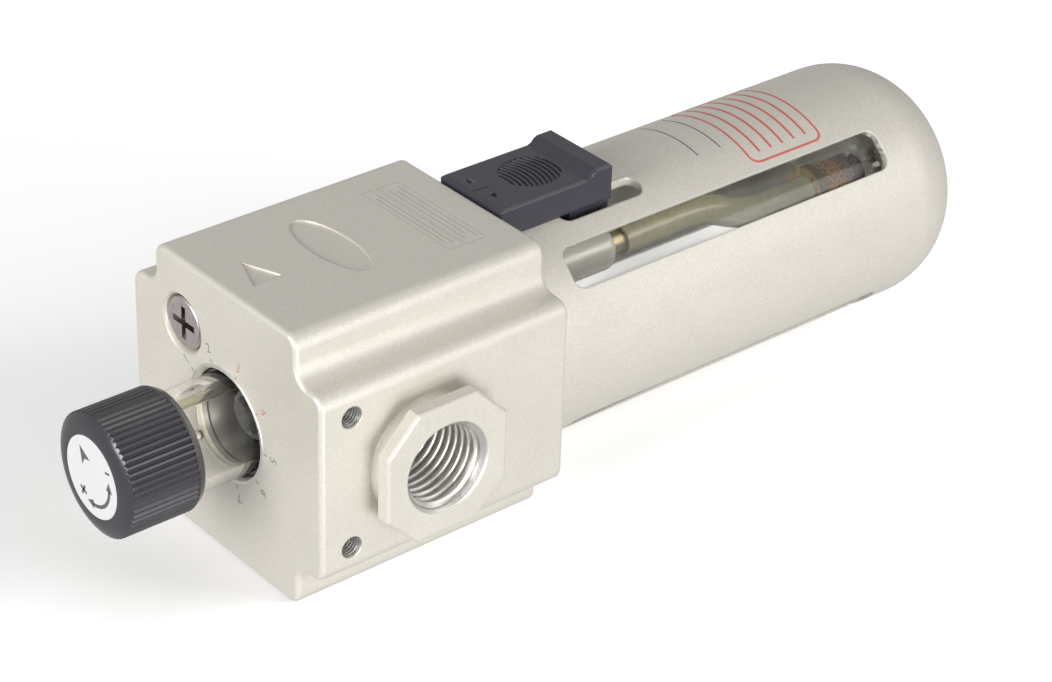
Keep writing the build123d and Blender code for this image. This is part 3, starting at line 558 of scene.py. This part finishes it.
inner_metal = brushed("inner_metal", (0.74, 0.73, 0.70), 0.4)
# Darker metal for the small side holes: its darkness is painted shade inside the holes.
hole_metal_painted_shade = brushed("hole_metal_painted_shade", (0.50, 0.49, 0.46), 0.35)
# Dark metal for the bore round the sight dome: its darkness is painted shade in the bore.
bore_metal_painted_shade = brushed("bore_metal_painted_shade", (0.24, 0.235, 0.225), 0.35)
# Dark metal in the plug's cross recess: its darkness is painted shade.
recess_metal_painted_shade = brushed("recess_metal_painted_shade", (0.17, 0.15, 0.145), 0.5)
rim_metal = grained("rim_metal", (0.70, 0.67, 0.61), 0.25, 0.2 * mm, 0.05, 0.004 * mm, specular=0.8)
faint_ink = ink("faint_ink", (0.47, 0.45, 0.40))
grey_ink = ink("grey_ink", (0.20, 0.19, 0.17))
red_ink = ink("red_ink", (0.55, 0.13, 0.10))
scale_red_ink = ink("scale_red_ink", (0.50, 0.24, 0.19))
black_ink = ink("black_ink", (0.05, 0.05, 0.05))
label_ink = ink("label_ink", (0.10, 0.10, 0.10))

node_materials = {
    "body": body_paint,
    "flow_guide": dark_plastic,
    "flow_damper": rubber,
    "sight_dome": dome_clear,
    "dome_ring": rubber,
    "sight_floor": dark_plastic,
    "feed_tube": feed_clear,
    "drip_nozzle": steel,
    "needle_spindle": brass,
    "spindle_ring": rubber,
    "adjusting_knob": knob_plastic,
    "knob_label": label_white,
    "fill_plug": steel,
    "fill_plug_ring": rubber,
    "siphon_holder": nylon,
    "holder_screws": steel,
    "siphon_spigot": dull_brass,
    "check_ball": steel,
    "siphon_tube": tube_olive,
    "filter_ring": brass,
    "suction_filter": bronze,
    "bowl": bowl_clear,
    "bowl_ring": rubber,
    "bowl_guard": guard_paint,
    "lock_button": button_plastic,
    "lock_spring": spring_steel,
}


def dress_nodes():
    """Puts the materials on the carried-over pieces."""
    for name, material in node_materials.items():
        mesh = nodes[name].data
        mesh.materials.clear()
        mesh.materials.append(material)
    other_finish("body", rim_metal, turned_rim)
    other_finish("body", bore_metal_painted_shade, dome_bore)
    other_finish("bowl_guard", inner_metal, guard_inside)
    other_finish("fill_plug", recess_metal_painted_shade, plug_recess)


def other_finish(node, material, belongs):
    """Gives another material to the faces for which a test holds."""
    mesh = nodes[node].data
    mesh.materials.append(material)
    for polygon in mesh.polygons:
        if belongs(polygon):
            polygon.material_index = len(mesh.materials) - 1


def from_axis(point, middle_x, middle_y=0.0):
    """How far a point is from an upright line."""
    return hypot(point.x - middle_x, point.y - middle_y)


def turned_rim(polygon):
    """True for the bare chamfer round the dome's bore."""
    centre = polygon.center
    sloped = sloped_normal < polygon.normal.z < level_normal and centre.z > top_z - rim_depth
    return sloped and from_axis(centre, axis_x) < dome_rim


def dome_bore(polygon):
    """True for the bore's wall and floor round the sight dome, which get dark metal as painted shade."""
    centre = polygon.center
    inside = from_axis(centre, axis_x) < dome_rim and bore_low < centre.z < bore_high
    return inside and (polygon.normal.z < level_normal or centre.z < bore_ledge)


def plug_recess(polygon):
    """True for the walls and the floor of the cross recess, which get dark metal as painted shade."""
    centre = polygon.center
    near = from_axis(centre, plug_middle.x, plug_middle.y) < recess_radius
    return near and recess_low < centre.z < recess_high


def guard_inside(polygon):
    """True for the guard's inner faces."""
    centre = polygon.center
    outward = Vector((centre.x - axis_x, centre.y, 0.0))
    inner = outward.length < guard_radius - guard_skin
    return inner and polygon.normal.dot(outward) <= 0 and centre.z > guard_low.z + guard_skin


def bore_place(mouth, inward):
    """A function from depth, radius and angle to a point, in a bore along X."""
    def place(depth, radius, angle):
        return mouth + Vector((inward * depth, radius * sin(angle), inward * radius * cos(angle)))

    return place


def thread_sleeve(place, thread):
    """Points and faces of a closed sleeve with a right-hand thread inside and a lead-in cone."""
    sides = thread.sides
    outer = thread.major + sleeve_wall
    start = thread.cone - outer + sleeve_bite
    rings = int((thread.depth - start) / thread.pitch * thread.rings)
    angles = [2 * pi * side / sides for side in range(sides)]
    points, faces = [], []
    for ring in range(rings + 1):
        along = start + (thread.depth - start) * ring / rings
        for angle in angles:
            wave = 0.5 - 0.5 * cos(2 * pi * along / thread.pitch - angle)
            radius = max(thread.minor + (thread.major - thread.minor) * wave, thread.cone - along)
            points.append(place(along, radius, angle))
    points += [place(along, outer, angle) for along in (start, thread.depth) for angle in angles]
    first_outer = (rings + 1) * sides
    last_outer = first_outer + sides
    for side in range(sides):
        after = (side + 1) % sides
        for ring in range(rings):
            low, high = ring * sides, (ring + 1) * sides
            faces.append((low + side, high + side, high + after, low + after))
        last = rings * sides
        faces.append((side, after, first_outer + after, first_outer + side))
        faces.append((last + side, last_outer + side, last_outer + after, last + after))
        faces.append((first_outer + side, first_outer + after, last_outer + after, last_outer + side))
    return points, faces


def sleeve_room(place, thread):
    """Points and faces of the closed cylinder that makes room for a sleeve in a bore."""
    sides = thread.sides
    radius = thread.major + sleeve_wall - sleeve_bite
    ends = (thread.cone - radius, thread.depth)
    points = [place(along, radius, 2 * pi * side / sides) for along in ends for side in range(sides)]
    faces = [tuple(range(sides)), tuple(reversed(range(sides, 2 * sides)))]
    for side in range(sides):
        after = (side + 1) % sides
        faces.append((side, side + sides, after + sides, after))
    return points, faces


def threads():
    """The threads in the ports and the side holes, and the room that they need in the body."""
    rooms = []
    for name, side in (("inlet", -1), ("outlet", 1)):
        face = body_low.x if side < 0 else body_high.x
        place = bore_place(Vector((face, 0, 0)), -side)
        shape = thread_sleeve(place, port_thread)
        sleeve = placed_mesh(name + "_thread", *shape, bare_metal, smooth=True)
        rooms.append(sleeve_room(place, port_thread))
        small = []
        for y in (-side_spacing / 2, side_spacing / 2):
            mouth = Vector((axis_x + side * (axis_x - side_mouth.x), y, side_mouth.z))
            place = bore_place(mouth, -side)
            small.append(thread_sleeve(place, side_thread))
            rooms.append(sleeve_room(place, side_thread))
        # The side-hole sleeves take darker metal, which is painted shade inside the holes.
        sleeves = placed_mesh(name + "_side_threads", *joined(small), hole_metal_painted_shade, smooth=True)
    return rooms


def cut(node, shapes):
    """Cuts shapes out of a carried-over piece."""
    cutter = placed_mesh(node + "_cutter", *joined(shapes), node_materials[node], body=None)
    normals_outward(cutter)
    cutter.hide_render = True
    cutter.hide_viewport = True
    cutter.parent = nodes[node]
    modifier = nodes[node].modifiers.new("rooms", "BOOLEAN")
    modifier.operation = "DIFFERENCE"
    modifier.solver = "EXACT"
    modifier.object = cutter


def normals_outward(piece):
    """Turns a closed mesh's faces outward."""
    work = bmesh.new()
    work.from_mesh(piece.data)
    bmesh.ops.recalc_face_normals(work, faces=work.faces)
    work.to_mesh(piece.data)
    work.free()


def squashed_spring():
    """A copy of the lock spring on the root body, in place of the carried-over piece."""
    spring = linked("lock_spring_coil", nodes["lock_spring"].data.copy())
    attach(spring, "root")
    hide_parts("lock_spring")
    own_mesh(spring)


def dome_bead():
    """The bare bead turned round the dome's bore."""
    points, faces = [], []
    for side in range(bead_sides):
        around = 2 * pi * side / bead_sides
        start, next_start = side * bead_steps, (side + 1) % bead_sides * bead_steps
        for step in range(bead_steps):
            turn = 2 * pi * step / bead_steps
            radius = dome_rim - bead_radius + bead_radius * cos(turn)
            height = top_z + bead_radius * bead_rise * sin(turn)
            points.append(Vector((axis_x + radius * cos(around), radius * sin(around), height)))
            above = (step + 1) % bead_steps
            faces.append((start + step, next_start + step, next_start + above, start + above))
    bead = placed_mesh("dome_bead", points, faces, bare_metal, smooth=True)


def on_top(angle, radius, across, height):
    """A point on the top face, from an angle on the scale and the ways outward and across it."""
    turn = -radians(angle)
    x = radius * cos(turn) - across * sin(turn)
    y = radius * sin(turn) + across * cos(turn)
    return Vector((axis_x + x, y, top_z + height))


def scale_digit(number, angle, material):
    """A digit of the scale, which reads outward."""
    curve = bpy.data.curves.new("digit", "FONT")
    curve.body = str(number)
    curve.size = digit_size
    curve.align_x = "CENTER"
    curve.align_y = "CENTER"
    curve.extrude = ink_height / 2
    curve.offset = digit_offset
    curve.resolution_u = digit_steps
    shown = bpy.data.objects.new("digit", curve)
    mesh = bpy.data.meshes.new_from_object(shown)
    turn = Matrix.Rotation(-radians(angle) - pi / 2, 4, "Z")
    centre = on_top(angle, digit_radius, 0.0, ink_height / 2)
    mesh.transform(Matrix.Translation(centre) @ turn)
    mesh.materials.clear()
    mesh.materials.append(material)
    piece = linked(f"scale_digit_{number}", mesh)
    bpy.data.objects.remove(shown)
    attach(piece, "root")


def dial_scale():
    """Ticks and digits round the sight dome."""
    half = tick_width / 2
    outline = ((tick_inner, -half), (tick_outer, -half), (tick_outer, half), (tick_inner, half))
    for number in range(1, scale_count + 1):
        angle = scale_first + scale_step * (number - 1)
        material = scale_red_ink if number in scale_red else grey_ink
        shape = slab(outline, ink_height, lambda u, v, h, a=angle: on_top(a, u, v, h))
        placed_mesh(f"scale_tick_{number}", *shape, material)
        scale_digit(number, angle, material)


def on_front(x, z, height):
    """A point on the front face, from millimetres beside the axis and above the top face."""
    return Vector((axis_x + x * mm, front_y - height, top_z + z * mm))


def front_recesses():
    """The shapes that cut the arrow and the plain oval into the front face."""
    def place(x, z, height):
        return on_front(x, z, recess_depth * (1 - 2 * height))

    (across, up), (half_across, half_up) = oval_middle, oval_half
    turns = [radians(angle) for angle in range(0, 360, oval_step)]
    oval = [(across + half_across * cos(turn), up + half_up * sin(turn)) for turn in turns]
    return [slab(outline, 1.0, place) for outline in (arrow_points, oval)]


def front_print():
    """Two faint frames with bars in them, printed on the front face near the bowl."""
    shapes = []
    for low, high, rows in front_frames:
        outline = rounded_frame(front_print_half, low, high, front_corner, runs=2)
        shapes.append(ribbon(outline, front_stroke, ink_height, on_front))
        for row in range(rows):
            level = low + (high - low) * (row + 1) / (rows + 1)
            reach = front_print_half - front_margin - front_stagger * (row % 2)
            bar = straight((-reach, level), (reach, level))
            shapes.append(ribbon(bar, front_bar, ink_height, on_front))
    placed_mesh("front_print", *joined(shapes), faint_ink)


def on_guard(across, depth, height):
    """A point on the guard's outside, from the way round it and a depth below the top face."""
    radius = guard_radius + height
    turn = across / guard_radius
    return Vector((axis_x + radius * sin(turn), -radius * cos(turn), top_z - depth))


def guard_print():
    """Plain lines printed on the guard: a round-cornered red frame with bars, and two dark rules."""
    half = radians(frame_half_angle) * guard_radius
    outline = rounded_frame(half, frame_high, frame_low, frame_corner)
    red = [ribbon(outline, frame_stroke, ink_height, on_guard)]
    gap = (frame_low - frame_high) / (bar_rows + 1)
    reach = half - bar_margin
    for row in range(bar_rows):
        depth = frame_high + gap * (row + 1)
        red.append(ribbon(straight((-reach, depth), (reach, depth)), bar_width, ink_height, on_guard))
    placed_mesh("guard_frame_print", *joined(red), red_ink)
    start, end = (radians(angle) * guard_radius for angle in rule_angles)
    rules = [straight((start, depth), (end, depth)) for depth in rule_heights]
    dark = [ribbon(rule, rule_width, ink_height, on_guard) for rule in rules]
    placed_mesh("guard_rule_print", *joined(dark), black_ink)


def on_label(u, v, height):
    """A point on the knob's label, u along +X and v along -Y, in millimetres."""
    return Vector((axis_x + u * mm, -v * mm, label_z + height))


def dash(middle, half, width):
    """Points and faces of a short line on the label, from its middle and half its way."""
    ends = [(middle[0] - half[0], middle[1] - half[1]), (middle[0] + half[0], middle[1] + half[1])]
    return ribbon(ends, width, ink_height, on_label)


def label_marks():
    """The pointer, the plus and minus and the double arrow on the knob's label."""
    arc = [polar(arc_radius, arc_middle + angle) for angle in range(-arc_half, arc_half + 1, arc_step)]
    shapes = [ribbon(arc, arc_width, ink_height, on_label)]
    for side in (-1, 1):
        base = arc_middle + side * head_start
        tip = polar(arc_radius + head_lift, base + side * head_turn)
        head = (polar(arc_radius - head_half, base), tip, polar(arc_radius + head_half, base))
        shapes.append(slab(head if side > 0 else head[::-1], ink_height, on_label))
    across, up = polar(1.0, pointer_turn)
    turned = [(u * across - v * up, u * up + v * across) for u, v in pointer_points]
    shapes.append(slab(turned, ink_height, on_label))
    shapes.append(dash(polar(*minus_place), minus_half, minus_width))
    for turn in plus_turns:
        shapes.append(dash(polar(*plus_place), polar(plus_arm, turn), plus_width))
    placed_mesh("label_marks", *joined(shapes), label_ink, body="knob")


def button_marks():
    """The shapes that cut two small arrows and a slanting line into the button."""
    flat_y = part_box("lock_button")[0].y + ridge_height

    def place(x, z, height):
        return Vector((axis_x + x * mm, flat_y - mark_depth * (2 * height - 1), top_z + z * mm))

    return [slab(outline, 1.0, place) for outline in (mark_line, *mark_arrows)]


def studio():
    """A pale floor under the back of the object, lamps and a white surround."""
    floor = pale_floor()
    groups = {
        "object": receivers("lit_by_object_lamps", [floor], "EXCLUDE"),
        "floor": receivers("lit_by_floor_lamps", [floor], "INCLUDE"),
        "gloss": receivers("lit_by_gloss_lamp", [nodes[name] for name in glossy_nodes], "INCLUDE"),
    }
    for name, place, power, lit in lamps:
        lamp(name, place, power, groups[lit]).visible_diffuse = lit != "gloss"
    surround()


def pale_floor():
    """The floor, which neither lights nor shades the object."""
    floor_y = back_y + floor_gap
    corners = ((-1, -1), (1, -1), (1, 1), (-1, 1))
    points = [(floor_reach * x, floor_y, floor_reach * z) for x, z in corners]
    floor = placed_mesh("floor", points, [(0, 1, 2, 3)], floor_material(), body=None)
    floor.visible_diffuse = False
    floor.visible_glossy = False
    floor.visible_shadow = False
    return floor


def floor_material():
    """A white floor that takes shadows and lets a view from below through."""
    material = bpy.data.materials.new("floor")
    material.use_nodes = True
    tree = material.node_tree
    tree.nodes.clear()
    output = tree.nodes.new("ShaderNodeOutputMaterial")
    diffuse = tree.nodes.new("ShaderNodeBsdfDiffuse")
    diffuse.inputs["Color"].default_value = (floor_colour, floor_colour, floor_colour, 1.0)
    glow = tree.nodes.new("ShaderNodeEmission")
    glow.inputs["Strength"].default_value = floor_glow
    add = tree.nodes.new("ShaderNodeAddShader")
    clear_side = tree.nodes.new("ShaderNodeBsdfTransparent")
    geometry = tree.nodes.new("ShaderNodeNewGeometry")
    tree.links.new(diffuse.outputs[0], add.inputs[0])
    tree.links.new(glow.outputs[0], add.inputs[1])
    mixed(tree, geometry.outputs["Backfacing"], add, clear_side, output)
    return material


def receivers(name, pieces, state):
    """A light's receivers: these pieces alone, or everything else."""
    group = bpy.data.collections.new(name)
    for index, piece in enumerate(pieces):
        group.objects.link(piece)
        group.collection_objects[index].light_linking.link_state = state
    return group


def lamp(name, place, power, group):
    """A square soft lamp aimed at the object's middle, for one group of receivers."""
    light = bpy.data.lights.new(name, "AREA")
    light.shape = "SQUARE"
    light.size = lamp_size
    light.energy = power
    piece = linked(name, light)
    piece.location = (cad_box[0] + cad_box[1]) / 2 + Vector(place)
    piece.rotation_euler = Vector(place).to_track_quat("Z", "Y").to_euler()
    piece.light_linking.receiver_collection = group
    return piece


def surround():
    """White for the camera and through clear parts, and softer on the object."""
    world = bpy.data.worlds.new("surround")
    bpy.context.scene.world = world
    world.use_nodes = True
    tree = world.node_tree
    tree.nodes.clear()
    output = tree.nodes.new("ShaderNodeOutputWorld")
    seen = tree.nodes.new("ShaderNodeBackground")
    soft = tree.nodes.new("ShaderNodeBackground")
    for background, strength in ((seen, 1.0), (soft, surround_level)):
        background.inputs["Color"].default_value = (1, 1, 1, 1)
        background.inputs["Strength"].default_value = strength
    path = tree.nodes.new("ShaderNodeLightPath")
    either = tree.nodes.new("ShaderNodeMath")
    either.operation = "MAXIMUM"
    tree.links.new(path.outputs["Is Camera Ray"], either.inputs[0])
    tree.links.new(path.outputs["Is Transmission Ray"], either.inputs[1])
    mixed(tree, either.outputs[0], soft, seen, output)


def camera():
    """The camera at the photograph's viewing angle."""
    data = bpy.data.cameras.new("camera")
    data.sensor_width = 36.0
    data.lens = camera_lens
    data.clip_start = 0.01
    data.clip_end = 10.0
    piece = linked("camera", data)
    piece.location = camera_place
    piece.rotation_euler = [radians(angle) for angle in camera_turn]
    bpy.context.scene.camera = piece


dress_nodes()
cut("body", threads() + front_recesses())
cut("lock_button", button_marks())
squashed_spring()
dome_bead()
dial_scale()
front_print()
guard_print()
label_marks()
studio()
camera()
bpy.context.scene.view_settings.view_transform = "Standard"
